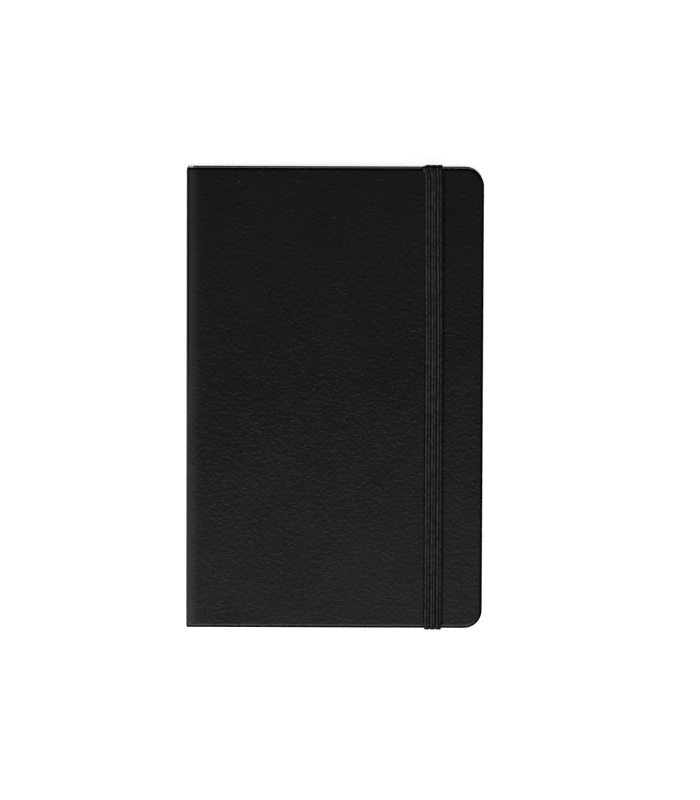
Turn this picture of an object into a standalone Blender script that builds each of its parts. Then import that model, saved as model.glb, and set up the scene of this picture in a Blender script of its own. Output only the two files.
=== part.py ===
"""Pocket notebook: hard covers, sewn sections in a flat spine, and a woven elastic closure band.

The notebook lies closed on its back cover. +Z points out of the front cover, +Y points to the head of
the pages, the spine is on the -X side and the fore-edge on the +X side. The origin is the middle of the
back cover's outer face. Lengths below are in millimetres, and each mesh is scaled to metres once.
"""

import math

import bmesh
import bpy

MM = 0.001

# Cover
COVER_WIDTH = 90.0  # from the spine's outer face to the fore-edge
COVER_HEIGHT = 140.0  # from head to tail
CORNER_RADIUS = 5.0  # the two fore-edge corners
SKIN = 0.35  # leather-look covering
BOARD = 1.05  # grey board inside each cover
TURN_IN = 0.30  # covering turned over onto the inside, pressed a little thinner
TURN_IN_WIDTH = 12.0
PASTEDOWN = 0.15  # endpaper glued over the turn-ins
PASTEDOWN_MARGIN = 2.5  # covering left showing round the pastedown
EDGE_ROUNDING = 0.6  # outer edge of a covered board
GLUE = 0.05  # between layers that are glued to each other

# Spine
SPINE_CARD = 1.20
SPINE_CARD_SHY = 0.5  # the card stops this far short of the covers' inner faces
SPINE_TURN_IN_LENGTH = 10.0
LINING = 0.25  # open-weave cloth glued over the folds
LINING_SHY = 8.0  # the lining stops this far short of head and tail
JOINT_RADIUS = 1.0  # the covering bends round this at each edge of the spine
JOINT_WIDTH = 1.30  # from the spine's outer face to where the boards begin
HINGE_OUT = 0.15  # the fold lines lie this far outside the covering's corner

# Leaves
SECTIONS = 12
SECTION = 0.67  # one folded and sewn section of eight leaves
LEAF_GAP = 0.04
FLYLEAF = 0.15
SQUARE = 2.0  # how far the covers stand proud of the leaves at head, tail and fore-edge

# Sewing
THREAD = 0.30
THREAD_STATIONS = 5
THREAD_SHY = 14.0  # first and last station from head and tail
THREAD_WIDTH = 0.8  # the two strands of a link stitch, side by side

# Elastic band
BAND_WIDTH = 5.2
BAND = 0.45
BAND_FROM_FORE_EDGE = 15.0  # centre line
BAND_OFF = 0.05  # clear of the covers it is stretched over
SLIT_FROM_EDGE = 8.0  # where the band passes through the back cover
TAB_LENGTH = 12.0  # band end glued inside the back cover
CHANNEL_CLEARANCE = 0.10  # round the band where it is let into the back cover
BAND_PIVOT_IN = 4.5  # the band swings about a line this far inside the fore-edge,
BAND_PIVOT_BELOW = 7.0  # and this far below the back cover

CORNER_STEPS = 9
ROUND_STEPS = 4
REACH = 3.0  # how far a cutter runs past what it cuts

# Worked out from the values above
SPINE_X = -COVER_WIDTH / 2
FORE_X = COVER_WIDTH / 2
HEAD_Y = COVER_HEIGHT / 2
BOARDS_X = SPINE_X + JOINT_WIDTH
COVER = SKIN + GLUE + BOARD + GLUE + TURN_IN + GLUE + PASTEDOWN
LEAVES = SECTIONS * SECTION + (SECTIONS + 1) * LEAF_GAP
THICKNESS = 2 * (COVER + GLUE + FLYLEAF) + LEAVES
CARD_X = SPINE_X + SKIN + GLUE
SPINE_TURN_X = CARD_X + SPINE_CARD + GLUE
LINING_X = SPINE_TURN_X + TURN_IN + GLUE
THREAD_X = LINING_X + LINING + GLUE
FOLD_X = THREAD_X + THREAD + 2 * GLUE
LEAF_X = FORE_X - SQUARE
LEAF_Y = HEAD_Y - SQUARE
BAND_X = FORE_X - BAND_FROM_FORE_EDGE
SLIT_Y = HEAD_Y - SLIT_FROM_EDGE

PAPER = ("ivory_paper", (0.80, 0.75, 0.62), 0.85)
ENDPAPER = ("endpaper", (0.74, 0.70, 0.60), 0.85)
LEATHER = ("black_covering", (0.022, 0.022, 0.024), 0.50)
GREY_BOARD = ("grey_board", (0.34, 0.32, 0.29), 0.90)
CLOTH = ("lining_cloth", (0.62, 0.60, 0.55), 0.95)
LINEN = ("linen_thread", (0.78, 0.74, 0.66), 0.80)
ELASTIC = ("black_elastic", (0.036, 0.034, 0.034), 0.75)


def clear_scene():
    for obj in list(bpy.data.objects):
        bpy.data.objects.remove(obj, do_unlink=True)


def material(spec):
    name, color, roughness = spec
    made = bpy.data.materials.get(name)
    if made:
        return made
    made = bpy.data.materials.new(name)
    made.use_nodes = True
    shader = made.node_tree.nodes["Principled BSDF"]
    shader.inputs["Base Color"].default_value = (*color, 1.0)
    shader.inputs["Roughness"].default_value = roughness
    shader.inputs["Metallic"].default_value = 0.0
    return made


def pivot(name, x, z, parent=None):
    """An empty on a joint's axis, which the pieces of that body hang from."""
    empty = bpy.data.objects.new(name, None)
    bpy.context.scene.collection.objects.link(empty)
    empty["place"] = (x, 0.0, z)
    base = parent["place"] if parent else (0.0, 0.0, 0.0)
    empty.location = [(a - b) * MM for a, b in zip((x, 0.0, z), base)]
    empty.parent = parent
    return empty


def solid(name, verts, faces, finish, carrier=None):
    """One closed mesh from millimetre points in the notebook's frame, hung from its carrier."""
    origin = carrier["place"] if carrier else (0.0, 0.0, 0.0)
    mesh = bpy.data.meshes.new(name)
    mesh.from_pydata([[(a - b) * MM for a, b in zip(v, origin)] for v in verts], [], faces)
    shape = bmesh.new()
    shape.from_mesh(mesh)
    bmesh.ops.recalc_face_normals(shape, faces=shape.faces)
    shape.to_mesh(mesh)
    shape.free()
    mesh.materials.append(material(finish))
    mesh.shade_smooth()
    mesh.set_sharp_from_angle(angle=math.radians(35))
    obj = bpy.data.objects.new(name, mesh)
    bpy.context.scene.collection.objects.link(obj)
    obj.parent = carrier
    return obj


def loft(rings):
    """Points and faces of a stack of rings of equal count, joined by quads and closed at both ends."""
    count = len(rings[0])
    verts = [point for ring in rings for point in ring]
    faces = [list(range(count)), [len(verts) - count + i for i in range(count)]]
    for level in range(len(rings) - 1):
        for i in range(count):
            j = (i + 1) % count
            low, high = level * count, (level + 1) * count
            faces.append([low + i, low + j, high + j, high + i])
    return verts, faces


def arc(x, y, radius, start, end, steps):
    angles = [math.radians(start + (end - start) * i / steps) for i in range(steps + 1)]
    return [(x + radius * math.cos(a), y + radius * math.sin(a)) for a in angles]


def outline(x_low, x_high, y_half, radius):
    """A sheet seen from the front: square at the spine, rounded at the two fore-edge corners."""
    corner_x, corner_y = x_high - radius, y_half - radius
    return (
        [(x_low, -y_half)]
        + arc(corner_x, -corner_y, radius, -90, 0, CORNER_STEPS)
        + arc(corner_x, corner_y, radius, 0, 90, CORNER_STEPS)
        + [(x_low, y_half)]
    )


def at_height(points, z):
    return [(x, y, z) for x, y in points]


def sheet(name, x_low, x_high, y_half, radius, z_low, z_high, finish, carrier=None):
    """A flat layer of even thickness."""
    plan = outline(x_low, x_high, y_half, radius)
    return solid(name, *loft([at_height(plan, z_low), at_height(plan, z_high)]), finish, carrier)


def prism(name, profile, axis, low, high, finish, carrier=None):
    """A profile carried along X (points are y, z) or along Y (points are x, z)."""

    def ring(value):
        if axis == "X":
            return [(value, a, b) for a, b in profile]
        return [(a, value, b) for a, b in profile]

    return solid(name, *loft([ring(low), ring(high)]), finish, carrier)


def block(name, x, y, z, finish, carrier=None):
    """A box from (low, high) on each axis."""
    profile = [(x[0], z[0]), (x[1], z[0]), (x[1], z[1]), (x[0], z[1])]
    return prism(name, profile, "Y", y[0], y[1], finish, carrier)


def cut(obj, cutter):
    """Takes the cutter's shape out of the object, and hides the cutter."""
    cutter.hide_render = True
    cutter.display_type = "WIRE"
    modifier = obj.modifiers.new(cutter.name, "BOOLEAN")
    modifier.operation = "DIFFERENCE"
    modifier.object = cutter


class CoverSide:
    """Heights in one cover, counted from its outer face inward. outward is -1 at the back, +1 in front."""

    def __init__(self, name, outer, outward, carrier):
        self.name, self.outer, self.outward, self.carrier = name, outer, outward, carrier

    def span(self, near, far):
        """(low z, high z) of a layer that runs from near to far below the outer face."""
        return sorted((self.outer - self.outward * near, self.outer - self.outward * far))


def covering(side):
    """The leather-look covering: outer face, three edges and the turn-ins, open towards the spine."""
    inner = SKIN + GLUE + BOARD + GLUE
    depths = [EDGE_ROUNDING * (1 - math.cos(math.pi / 2 * i / ROUND_STEPS)) for i in range(ROUND_STEPS + 1)]
    insets = [EDGE_ROUNDING * (1 - math.sin(math.pi / 2 * i / ROUND_STEPS)) for i in range(ROUND_STEPS + 1)]
    levels = list(zip(depths, insets)) + [(inner + TURN_IN, 0.0)]
    rings = []
    for depth, inset in levels:
        plan = outline(BOARDS_X, FORE_X - inset, HEAD_Y - inset, CORNER_RADIUS - inset)
        rings.append(at_height(plan, side.outer - side.outward * depth))
    shell = solid(f"{side.name}_covering", *loft(rings), LEATHER, side.carrier)
    pocket = sheet(
        f"{side.name}_board_pocket",
        BOARDS_X - REACH,
        FORE_X - SKIN,
        HEAD_Y - SKIN,
        CORNER_RADIUS - SKIN,
        *side.span(SKIN, inner),
        LEATHER,
    )
    window = sheet(
        f"{side.name}_turn_in_window",
        BOARDS_X - REACH,
        FORE_X - TURN_IN_WIDTH,
        HEAD_Y - TURN_IN_WIDTH,
        GLUE,
        *side.span(inner - GLUE, inner + TURN_IN + REACH),
        LEATHER,
    )
    cut(shell, pocket)
    cut(shell, window)
    return shell


def board(side):
    edge = SKIN + GLUE
    return sheet(
        f"{side.name}_board",
        BOARDS_X,
        FORE_X - edge,
        HEAD_Y - edge,
        CORNER_RADIUS - edge,
        *side.span(edge, edge + BOARD),
        GREY_BOARD,
        side.carrier,
    )


def endpapers(side, leaf_carrier):
    """The pastedown on the cover, and the free flyleaf that lies on the first or last section."""
    sheet(
        f"{side.name}_pastedown",
        BOARDS_X,
        FORE_X - PASTEDOWN_MARGIN,
        HEAD_Y - PASTEDOWN_MARGIN,
        CORNER_RADIUS - PASTEDOWN_MARGIN,
        *side.span(COVER - PASTEDOWN, COVER),
        ENDPAPER,
        side.carrier,
    )
    sheet(
        f"{side.name}_flyleaf",
        FOLD_X,
        LEAF_X,
        LEAF_Y,
        CORNER_RADIUS - SQUARE,
        *side.span(COVER + GLUE, COVER + GLUE + FLYLEAF),
        ENDPAPER,
        leaf_carrier,
    )


def section(number, carrier):
    """One folded section: its fold is round and faces the spine. Section 1 is the nearest to the front."""
    pitch = SECTION + LEAF_GAP
    middle = THICKNESS - COVER - GLUE - FLYLEAF - LEAF_GAP - SECTION / 2 - (number - 1) * pitch
    rings = []
    for step in range(2 * ROUND_STEPS + 1):
        angle = math.pi / 2 * (step / ROUND_STEPS - 1)
        inset = SECTION / 2 * (1 - math.cos(angle))
        plan = outline(FOLD_X + inset, LEAF_X, LEAF_Y, CORNER_RADIUS - SQUARE)
        rings.append(at_height(plan, middle + SECTION / 2 * math.sin(angle)))
    solid(f"section_{number:02d}", *loft(rings), PAPER, carrier)


def sewing_thread(name, z_low, z_high, carrier):
    """Link stitches over the folds of half the sections, joined by the run inside the outermost fold."""
    first = -(HEAD_Y - THREAD_SHY)
    pitch = -2 * first / (THREAD_STATIONS - 1)
    half = THREAD_WIDTH / 2
    run_top = z_low + THREAD_WIDTH
    profile = [(first - half, z_low)]
    profile.append((first + (THREAD_STATIONS - 1) * pitch + half, z_low))
    for station in reversed(range(THREAD_STATIONS)):
        y = first + station * pitch
        profile += [(y + half, z_high), (y - half, z_high)]
        if station:
            profile += [(y - half, run_top), (y - pitch + half, run_top)]
    prism(name, profile, "X", THREAD_X, THREAD_X + THREAD, LINEN, carrier)


def spine(carrier):
    card_low, card_high = COVER + SPINE_CARD_SHY, THICKNESS - COVER - SPINE_CARD_SHY
    block(
        "spine_card",
        (CARD_X, CARD_X + SPINE_CARD),
        (-(HEAD_Y - SKIN - GLUE), HEAD_Y - SKIN - GLUE),
        (card_low + GLUE, card_high - GLUE),
        GREY_BOARD,
        carrier,
    )
    # Seen from the head: the face tapers from its full height at the joints to the card's ends.
    face_low, face_high = JOINT_RADIUS + GLUE, THICKNESS - JOINT_RADIUS - GLUE
    profile = [
        (SPINE_X, face_low),
        (SPINE_X + SKIN, face_low),
        (SPINE_X + SKIN, card_low),
        (LINING_X - GLUE, card_low),
        (LINING_X - GLUE, card_high),
        (SPINE_X + SKIN, card_high),
        (SPINE_X + SKIN, face_high),
        (SPINE_X, face_high),
    ]
    face = prism("spine_covering", profile, "Y", -HEAD_Y, HEAD_Y, LEATHER, carrier)
    past_card = (card_low - REACH, card_high + REACH)
    pocket = block(
        "spine_card_pocket",
        (SPINE_X + SKIN, SPINE_TURN_X),
        (-(HEAD_Y - SKIN), HEAD_Y - SKIN),
        past_card,
        LEATHER,
    )
    window = block(
        "spine_turn_in_window",
        (SPINE_TURN_X - GLUE, LINING_X + REACH),
        (-(HEAD_Y - SPINE_TURN_IN_LENGTH), HEAD_Y - SPINE_TURN_IN_LENGTH),
        past_card,
        LEATHER,
    )
    cut(face, pocket)
    cut(face, window)
    block(
        "spine_lining",
        (LINING_X, LINING_X + LINING),
        (-(HEAD_Y - LINING_SHY), HEAD_Y - LINING_SHY),
        (card_low, card_high),
        CLOTH,
        carrier,
    )


def joint_fold(side, carrier):
    """The covering where it bends from the spine's face onto a cover, as a strip round that corner."""
    x = SPINE_X + JOINT_RADIUS
    last = BOARDS_X - GLUE
    bend = arc(x, JOINT_RADIUS, JOINT_RADIUS, 180, 270, 2 * ROUND_STEPS)
    inside = arc(x, JOINT_RADIUS, JOINT_RADIUS - SKIN, 270, 180, 2 * ROUND_STEPS)
    profile = bend + [(last, 0.0), (last, SKIN)] + inside
    heights = [(px, side.outer - side.outward * depth) for px, depth in profile]
    prism(f"{side.name}_joint_fold", heights, "Y", -HEAD_Y, HEAD_Y, LEATHER, carrier)


def band_anchor(name, end, back_board, back_covering):
    """The band's end: along the back cover's face, through a slit, and under the pastedown.

    end is +1 at the head and -1 at the tail. Depths are heights above the table.
    """
    half = BAND_WIDTH / 2
    wide = half + CHANNEL_CLEARANCE
    board_top = SKIN + GLUE + BOARD
    outer = (GLUE, GLUE + BAND)
    inner = (board_top - GLUE - BAND, board_top - GLUE)
    profile = [
        (HEAD_Y, outer[0]),
        (HEAD_Y, outer[1]),
        (SLIT_Y, outer[1]),
        (SLIT_Y, inner[1]),
        (SLIT_Y - TAB_LENGTH, inner[1]),
        (SLIT_Y - TAB_LENGTH, inner[0]),
        (SLIT_Y - BAND, inner[0]),
        (SLIT_Y - BAND, outer[0]),
    ]
    strap = [(end * y, z) for y, z in profile]
    prism(name, strap, "X", BAND_X - half, BAND_X + half, ELASTIC)
    outer_channel = block(
        f"{name}_channel",
        (BAND_X - wide, BAND_X + wide),
        sorted((end * (SLIT_Y - BAND - CHANNEL_CLEARANCE), end * (HEAD_Y + REACH))),
        (-REACH, outer[1] + CHANNEL_CLEARANCE),
        ELASTIC,
    )
    inner_channel = block(
        f"{name}_recess",
        (BAND_X - wide, BAND_X + wide),
        sorted((end * (SLIT_Y - TAB_LENGTH - CHANNEL_CLEARANCE), end * (SLIT_Y + CHANNEL_CLEARANCE))),
        (outer[1], board_top + GLUE / 2),
        ELASTIC,
    )
    cut(back_board, outer_channel)
    cut(back_board, inner_channel)
    cut(back_covering, outer_channel)


def band(swing, slack):
    """The stretched band: up the head and tail edges and along the front cover."""
    across = (BAND_X - BAND_WIDTH / 2, BAND_X + BAND_WIDTH / 2)
    near, far = HEAD_Y + BAND_OFF, HEAD_Y + BAND_OFF + BAND
    for name, end in (("head", 1), ("tail", -1)):
        block(
            f"band_side_{name}",
            across,
            sorted((end * near, end * far)),
            (GLUE, THICKNESS),
            ELASTIC,
            swing,
        )
    front = (THICKNESS + BAND_OFF, THICKNESS + BAND_OFF + BAND)
    block("band_front_run", across, (-far, far), front, ELASTIC, slack)


def main():
    clear_scene()
    fold_line = SPINE_X - HINGE_OUT
    spine_pivot = pivot("spine_pivot", fold_line, -HINGE_OUT)
    middle_pivot = pivot("middle_pivot", fold_line, THICKNESS + HINGE_OUT, spine_pivot)
    cover_pivot = pivot("cover_pivot", fold_line, THICKNESS + HINGE_OUT, middle_pivot)
    swing_pivot = pivot("band_pivot", FORE_X - BAND_PIVOT_IN, -BAND_PIVOT_BELOW)
    slack_pivot = pivot("band_slack_origin", BAND_X, THICKNESS, swing_pivot)

    back = CoverSide("back", 0.0, -1, None)
    front = CoverSide("front", THICKNESS, 1, cover_pivot)
    back_covering = covering(back)
    back_board = board(back)
    covering(front)
    board(front)
    endpapers(back, None)
    endpapers(front, middle_pivot)
    for number in range(1, SECTIONS + 1):
        section(number, middle_pivot if 2 * number <= SECTIONS else None)

    low, high = COVER + GLUE + FLYLEAF + LEAF_GAP, THICKNESS / 2 - LEAF_GAP / 2
    sewing_thread("sewing_thread_back", low, high, None)
    sewing_thread("sewing_thread_front", THICKNESS - high, THICKNESS - low, middle_pivot)
    spine(spine_pivot)
    joint_fold(back, spine_pivot)
    joint_fold(front, spine_pivot)
    band_anchor("band_anchor_head", 1, back_board, back_covering)
    band_anchor("band_anchor_tail", -1, back_board, back_covering)
    band(swing_pivot, slack_pivot)


main()
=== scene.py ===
"""Pocket notebook, finished: pebbled black covering, ruled leaves in sewn sections, ribbed elastic band.

The notebook lies closed on its back cover. +Z points out of the front cover, +Y points to the head of
the pages, the spine is on the -X side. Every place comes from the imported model, which is loaded first.
"""

import math

import bmesh
import bpy
import numpy as np
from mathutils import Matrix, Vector


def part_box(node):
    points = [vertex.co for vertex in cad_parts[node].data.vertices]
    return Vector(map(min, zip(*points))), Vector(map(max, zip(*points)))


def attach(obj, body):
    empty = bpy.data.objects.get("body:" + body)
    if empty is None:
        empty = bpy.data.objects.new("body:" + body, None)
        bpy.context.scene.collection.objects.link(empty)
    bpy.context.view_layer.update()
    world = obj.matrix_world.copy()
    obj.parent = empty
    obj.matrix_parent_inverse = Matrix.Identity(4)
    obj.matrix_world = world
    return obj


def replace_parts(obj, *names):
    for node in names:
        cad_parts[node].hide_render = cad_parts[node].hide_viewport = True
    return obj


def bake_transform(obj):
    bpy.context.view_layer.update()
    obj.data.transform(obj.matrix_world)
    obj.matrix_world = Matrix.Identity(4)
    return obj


bl_info = {
    "name": "Pocket notebook finish",
    "version": (1, 0, 0),
    "blender": (4, 5, 0),
    "location": "View3D > Sidebar > Notebook",
    "description": "Covering, leaves, sewing and closure band of a hard-cover pocket notebook",
    "category": "Object",
}

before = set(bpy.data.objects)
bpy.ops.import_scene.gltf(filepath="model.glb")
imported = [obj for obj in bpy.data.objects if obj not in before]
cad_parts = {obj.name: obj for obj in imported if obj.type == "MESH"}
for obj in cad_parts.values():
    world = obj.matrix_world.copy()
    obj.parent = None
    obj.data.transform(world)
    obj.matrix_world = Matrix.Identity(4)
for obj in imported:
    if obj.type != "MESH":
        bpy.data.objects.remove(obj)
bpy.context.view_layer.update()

MM = 0.001

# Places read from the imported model
BACK_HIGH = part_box("back_covering")[1]
SPINE_LOW, SPINE_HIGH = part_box("spine_covering")
FORE_X, HEAD_Y = BACK_HIGH.x, BACK_HIGH.y
SPINE_X, TOP_Z = SPINE_LOW.x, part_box("front_covering")[1].z
COVER_DEPTH = BACK_HIGH.z  # from the outer face to the turned-in covering's inner face
SPINE_DEPTH = SPINE_HIGH.x - SPINE_LOW.x

BACK, FRONT = -1, 1  # which way a cover's outer face looks along Z


# ---------------------------------------------------------------- sizes and colours


def length(name, description, millimetres):
    """A length that a user may change, given in millimetres."""
    return bpy.props.FloatProperty(
        name=name, description=description, default=millimetres * MM, unit="LENGTH"
    )


def angle(name, description, degrees):
    """An angle that a user may change, given in degrees."""
    return bpy.props.FloatProperty(
        name=name, description=description, default=math.radians(degrees), subtype="ANGLE"
    )


def colour(name, description, value):
    """A colour that a user may change, in linear light."""
    return bpy.props.FloatVectorProperty(
        name=name, description=description, default=value, size=3, min=0.0, max=1.0, subtype="COLOR"
    )


class NotebookCovering(bpy.types.PropertyGroup):
    skin: length("Covering", "Thickness of the covering", 0.30)
    corner: length("Corner radius", "Fore-edge corners of the covers", 5.5)
    edge_round: length("Edge rounding", "Width of a covered board's rounded edge", 1.1)
    edge_drop: length("Edge drop", "Depth of a covered board's rounded edge", 0.6)
    joint_round: length("Joint radius", "Bend between a cover and the spine", 1.0)
    turn_in: length("Turn-in", "Covering folded over onto the inside", 12.0)
    dent: length("Dent", "How far the band presses into the front cover", 0.07)
    ripple: length("Ripple", "How far the faces dip between their high spots", 0.07)


class NotebookLeaves(bpy.types.PropertyGroup):
    paper: length("Paper", "Thickness of one leaf", 0.074)
    sheets: bpy.props.IntProperty(name="Sheets", description="Folded sheets in one section", default=4)
    corner: length("Corner radius", "Fore-edge corners of the leaves", 3.0)
    trim: length("Trim", "How unevenly the leaves end", 0.05)
    rule_pitch: length("Rule pitch", "Distance between ruled lines", 6.0)
    gutter: length("Gutter", "Width beside the fold in which a leaf bends", 7.9)


class NotebookBand(bpy.types.PropertyGroup):
    groove: length("Groove", "Depth of the two grooves between the ribs", 0.13)
    cord: length("Cord", "Depth of the fine groove along each rib", 0.055)
    bead: length("Bead", "Length of one bead along a cord", 1.35)
    bend: length("Bend", "Radius of the band where it turns a corner", 0.6)


class NotebookColours(bpy.types.PropertyGroup):
    covering: colour("Covering", "Pebbled covering", (0.0040, 0.0036, 0.0042))
    rubbed: colour("Rubbed covering", "Covering where its edges are handled", (0.034, 0.029, 0.026))
    # Paler colour for worn edges and for the painted highlight along the edges and beside the spine
    leaf: colour("Leaf", "Ruled leaves", (0.80, 0.75, 0.62))
    rule: colour("Rule", "Ruled lines", (0.42, 0.43, 0.44))
    endpaper: colour("Endpaper", "Endpapers", (0.74, 0.70, 0.60))
    board: colour("Board", "Grey board", (0.34, 0.32, 0.29))
    cloth: colour("Cloth", "Open-weave lining", (0.62, 0.60, 0.55))
    thread: colour("Thread", "Linen sewing thread", (0.78, 0.74, 0.66))
    elastic: colour("Elastic", "Closure band", (0.0110, 0.0100, 0.0104))
    floor: colour("Floor", "Floor round the notebook", (0.82, 0.82, 0.82))


class NotebookStage(bpy.types.PropertyGroup):
    distance: length("Distance", "From the camera to the front cover", 1750.0)
    tilt: angle("Tilt", "Camera off the cover's normal", 5.05)
    roll: angle("Roll", "Camera about its own line of sight", 0.21)
    lens: bpy.props.FloatProperty(
        name="Lens", description="Focal length in millimetres on a 36 mm sensor", default=259.8
    )
    aim: bpy.props.FloatVectorProperty(
        name="Aim",
        description="What the camera looks at",
        default=(4.66 * MM, -0.37 * MM, 13.0 * MM),
        subtype="XYZ",
    )


SETTINGS = {
    "notebook_covering": NotebookCovering,
    "notebook_leaves": NotebookLeaves,
    "notebook_band": NotebookBand,
    "notebook_colours": NotebookColours,
    "notebook_stage": NotebookStage,
}


# ---------------------------------------------------------------- surfaces


def ease(value):
    """0 below 0, 1 above 1, and 3t^2 - 2t^3 between."""
    t = np.clip(value, 0.0, 1.0)
    return t * t * (3.0 - 2.0 * t)


class Patch:
    """A grid of points, rows by columns by xyz, with one value per point for each named attribute.

    Its faces look along (columns x rows); turned swaps that. ring joins the last column to the first,
    and caps then close the first and last rows.
    """

    def __init__(self, points, turned=False, ring=False, caps=False, **values):
        self.points, self.turned, self.ring, self.caps, self.values = points, turned, ring, caps, values

    def faces(self, start):
        """Corner indices of the grid's quads and caps, counted from start."""
        rows, columns = self.points.shape[:2]
        index = start + np.arange(rows * columns).reshape(rows, columns)
        if self.ring:
            index = np.concatenate([index, index[:, :1]], axis=1)
        corners = [index[:-1, :-1], index[:-1, 1:], index[1:, 1:], index[1:, :-1]]
        quads = np.stack(corners, axis=-1).reshape(-1, 4)
        faces = (quads[:, ::-1] if self.turned else quads).tolist()
        if self.caps:
            first, last = index[0, :-1].tolist(), index[-1, :-1].tolist()
            faces += [first, last[::-1]] if self.turned else [first[::-1], last]
        return faces


def piece(name, patches, materials, sharp_angle=None):
    """One object from patches: their points joined where they meet, open borders kept crisp."""
    points = np.concatenate([patch.points.reshape(-1, 3) for patch in patches])
    faces, start = [], 0
    for patch in patches:
        faces += patch.faces(start)
        start += patch.points.shape[0] * patch.points.shape[1]
    mesh = bpy.data.meshes.new(name)
    mesh.from_pydata(points.tolist(), [], faces)
    for key in patches[0].values:
        values = np.concatenate([np.broadcast_to(p.values[key], p.points.shape[:2]).ravel() for p in patches])
        mesh.attributes.new(key, "FLOAT", "POINT").data.foreach_set("value", values.astype(np.float32))
    shape = bmesh.new()
    shape.from_mesh(mesh)
    bmesh.ops.remove_doubles(shape, verts=shape.verts, dist=0.0002 * MM)
    for edge in shape.edges:
        edge.smooth = not edge.is_boundary
    shape.to_mesh(mesh)
    shape.free()
    mesh.shade_smooth()
    if sharp_angle is not None:
        mesh.set_sharp_from_angle(angle=sharp_angle)
    for material in materials:
        mesh.materials.append(material)
    obj = bpy.data.objects.new(name, mesh)
    bpy.context.scene.collection.objects.link(obj)
    return obj


def thicken(obj, thickness, offset, rim_material=0):
    """A wall on an open sheet: offset -1 grows it inwards from the faces, 0 grows it both ways."""
    wall = obj.modifiers.new("thickness", "SOLIDIFY")
    wall.thickness = thickness
    wall.offset = offset
    wall.material_offset_rim = rim_material
    return obj


def rounded_half(x, half, corner, end):
    """Half height of a sheet at x: even, then falling on a quarter circle to the corner's end."""
    past = np.clip(x - (end - corner), 0.0, corner)
    return half - corner + np.sqrt(corner**2 - past**2)


def corner_columns(corner, end, steps):
    """Columns through a rounded corner, evenly spread round its quarter circle."""
    turn = np.linspace(0.0, math.pi / 2, steps + 1)
    return end - corner + corner * np.sin(turn)


# ---------------------------------------------------------------- covering


UNDER = 0.30 * MM  # radius on which the covering turns back under a board
RIM_ENDS = 3.0 * MM  # the rim fades out this far along the turn-in


class EdgeRows:
    """Rows that carry the covering over a board's edge, from the face's border to the turn-in's end.

    A point lies inset from the board's outline and depth = base + out * bulge + wall * (deep - under
    - bulge - base) + back * under below the outer face: a quarter ellipse out, a wall, and a quarter
    circle back. One value per row is wear with a painted highlight, most halfway round the ellipse.
    Another is 0 on the face and 1 from the wall on, until it fades on the turn-in: from the rounding's
    outer part on it paints shade, darker and less shiny, and from the wall on it also gives the coat.
    """

    ROUND_OUT, WALL, ROUND_BACK, TUCK = 9, 4, 5, 7

    def __init__(self, sizes):
        out = np.linspace(0.0, math.pi / 2, self.ROUND_OUT)
        wall = np.linspace(0.0, 1.0, self.WALL + 1)[1:]
        back = np.linspace(0.0, math.pi / 2, self.ROUND_BACK + 1)[1:]
        tuck = UNDER + (sizes.turn_in - UNDER) * np.linspace(0.0, 1.0, self.TUCK + 1)[1:] ** 1.5
        none, full = np.zeros_like, np.ones_like
        self.inset = np.concatenate(
            [sizes.edge_round * (1 - np.sin(out)), none(wall), UNDER * (1 - np.cos(back)), tuck]
        )
        self.out = np.concatenate([1 - np.cos(out), full(wall), full(back), full(tuck)])
        self.wall = np.concatenate([none(out), wall, full(back), full(tuck)])
        self.back = np.concatenate([none(out), none(wall), np.sin(back), full(tuck)])
        self.rub = np.concatenate([0.12 * np.sin(2 * out), none(wall), none(back), none(tuck)])
        # Painted shade on the outer part of the rounding
        edge_shade = 0.7 * ease((out - 0.25) / 0.32)
        self.rim = np.concatenate([edge_shade, full(wall), full(back), ease(1 - tuck / RIM_ENDS)])

    def depth(self, base, bulge, deep):
        """Depth of each row (down) at each place along the edge (across)."""
        base, bulge, deep = (np.asarray(v, float)[None, :] for v in (base, bulge, deep))
        out, wall, back = (v[:, None] for v in (self.out, self.wall, self.back))
        return base + out * bulge + wall * (deep - UNDER - bulge - base) + back * UNDER


LIP = 0.65 * MM  # doubled covering at head and tail of a joint
LIP_BULGE = 0.35 * MM


def joint_line(along, sizes):
    """Outer face of the covering in cross-section, by the length along it from where the cover ends.

    Negative lengths lie on the cover, then a quarter circle turns onto the spine's face, which runs on.
    Returns x, depth below the cover's outer face, and the outward normal's x and depth parts.
    """
    radius = sizes.joint_round
    turn = np.clip(along / radius, 0.0, math.pi / 2)
    x = SPINE_X + radius - np.minimum(along, 0.0) - radius * np.sin(turn)
    depth = radius * (1 - np.cos(turn)) + np.maximum(along - radius * math.pi / 2, 0.0)
    return x, depth, -np.sin(turn), -np.cos(turn)


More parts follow.
